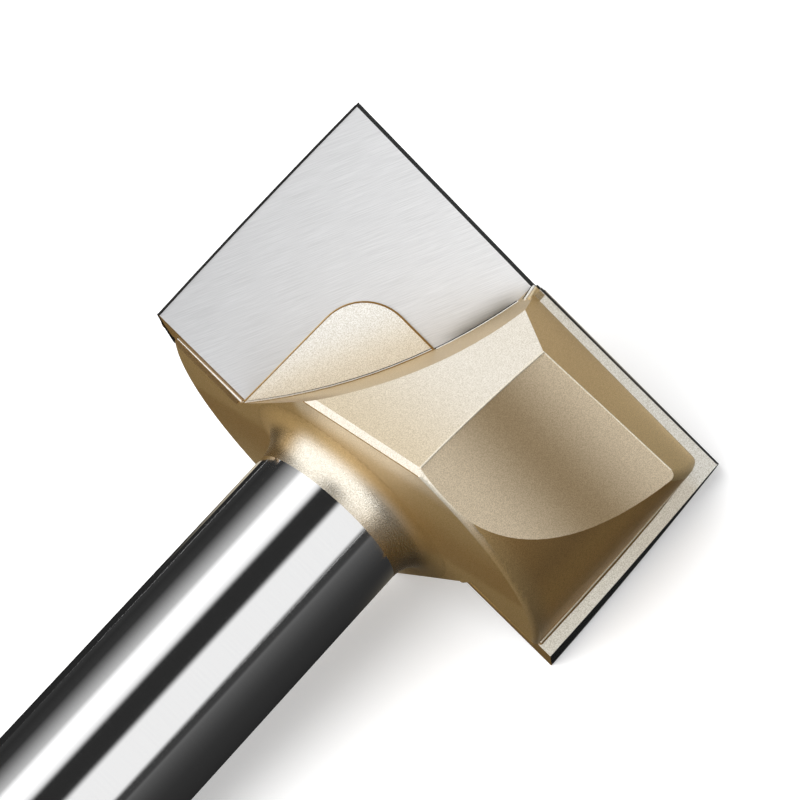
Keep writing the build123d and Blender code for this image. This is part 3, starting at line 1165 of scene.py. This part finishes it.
# %% Milled edges of the heel
def edge_beads(number):
    """Lay a line on each milled edge; its points are sorted along one of the tool's axes."""

    def is_flat(spot, facing):
        return faces_on(number, facing, FLAT)

    def is_bevel(spot, facing):
        return faces_on(number, facing, BEVEL)

    def is_hollow(spot, facing):
        return faces_on(number, facing, HOLLOW)

    def is_end(spot, facing):
        return faces_along(facing, END)

    def is_shoulder(spot, facing):
        return facing.z < STRAIGHT_DOWN and spot.z > SHOULDER - NEAR

    edges = [
        ("flat_edge", is_flat, is_hollow, "z", 0.08, gold_edge_highlight),
        ("end_edge", is_hollow, is_end, "x", 0.055, gold_edge_highlight),
        ("low_edge", is_bevel, is_shoulder, "x", 0.035, amber),
    ]
    for name, first_pick, second_pick, axis, radius, material in edges:
        crease = crease_between("cutter_body", first_pick, second_pick)
        points = [first_side(number, point) for point in crease]
        points.sort(key=lambda point: getattr(point, axis))
        lay(number, name, points, (radius, radius), material)
        print("points on", name, "of side", number, len(points))


# %% [markdown]
# The blade's back ends on a slant at its inner end, where braze has filled the corner. A small
# wedge on the blade's end gives it that slant, and its upper side is honed like the blade's, in
# the same painted dark reflection.

# %% Slanted inner end
INNER_END = -0.4
SLANT = Vector((0.57, 0, 0))
HIGH_BACK = 1.5


def inner_end(number, face_rim, back_rim):
    """Set a wedge on the inner end of one blade."""
    ends = [point for point in face_rim + back_rim if point.x > INNER_END]
    ends.sort(key=lambda point: (round(point.y > HIGH_BACK), point.z))
    low_face, high_face, low_back, high_back = ends
    corners = [low_face, high_face, high_back, low_back, high_back + SLANT, low_back + SLANT]
    wedge_mesh = bpy.data.meshes.new(f"inner_end_{number}")
    wedge_mesh.from_pydata(
        [on_bench(first_side(number, corner)) for corner in corners],
        [],
        [(0, 1, 4, 5), (1, 2, 4), (0, 5, 3), (3, 5, 4, 2)],
    )
    wedge_mesh.materials.append(gold_pale)
    wedge_mesh.materials.append(honed)
    wedge_mesh.polygons[1].material_index = 1
    wedge = bpy.data.objects.new(f"inner_end_{number}", wedge_mesh)
    bpy.context.scene.collection.objects.link(wedge)
    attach(wedge, "root")


# %% Lay everything on both sides
for number, (face_rim, back_rim, moon_rim, seat_rim) in RIMS.items():
    seam_beads(number, face_rim)
    moon_beads(number, moon_rim)
    foot_beads(number)
    land_beads(number, face_rim)
    tip_beads(number)
    lip_beads(number, seat_rim)
    edge_beads(number)
    inner_end(number, face_rim, back_rim)
print("beads laid", len(bpy.data.curves))

# %% [markdown]
# No milled edge is perfectly sharp, and the narrow round on it catches the light. A Bevel
# modifier rounds the body's edges by a tenth of a millimetre without touching its mesh. The
# angle limit keeps it off the facets of the turned surfaces.

# %% Soft edges on the body
EDGE_WIDTH = 0.0001
EDGE_ANGLE = math.radians(34)
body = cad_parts["cutter_body"]
for polygon in body.data.polygons:
    polygon.use_smooth = True
edge_round = body.modifiers.new("edge_round", "BEVEL")
edge_round.width = EDGE_WIDTH
edge_round.segments = 2
edge_round.limit_method = "ANGLE"
edge_round.angle_limit = EDGE_ANGLE
edge_round.harden_normals = True
print("faces made smooth", len(body.data.polygons))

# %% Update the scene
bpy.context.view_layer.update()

# %% [markdown]
# The Standard view shows a colour about as it is written. The default view would turn the white
# of the paper and of the metal's highlights to grey.

# %% Plain view of the colours
scene = bpy.context.scene
scene.view_settings.view_transform = "Standard"
print("view", scene.view_settings.view_transform)
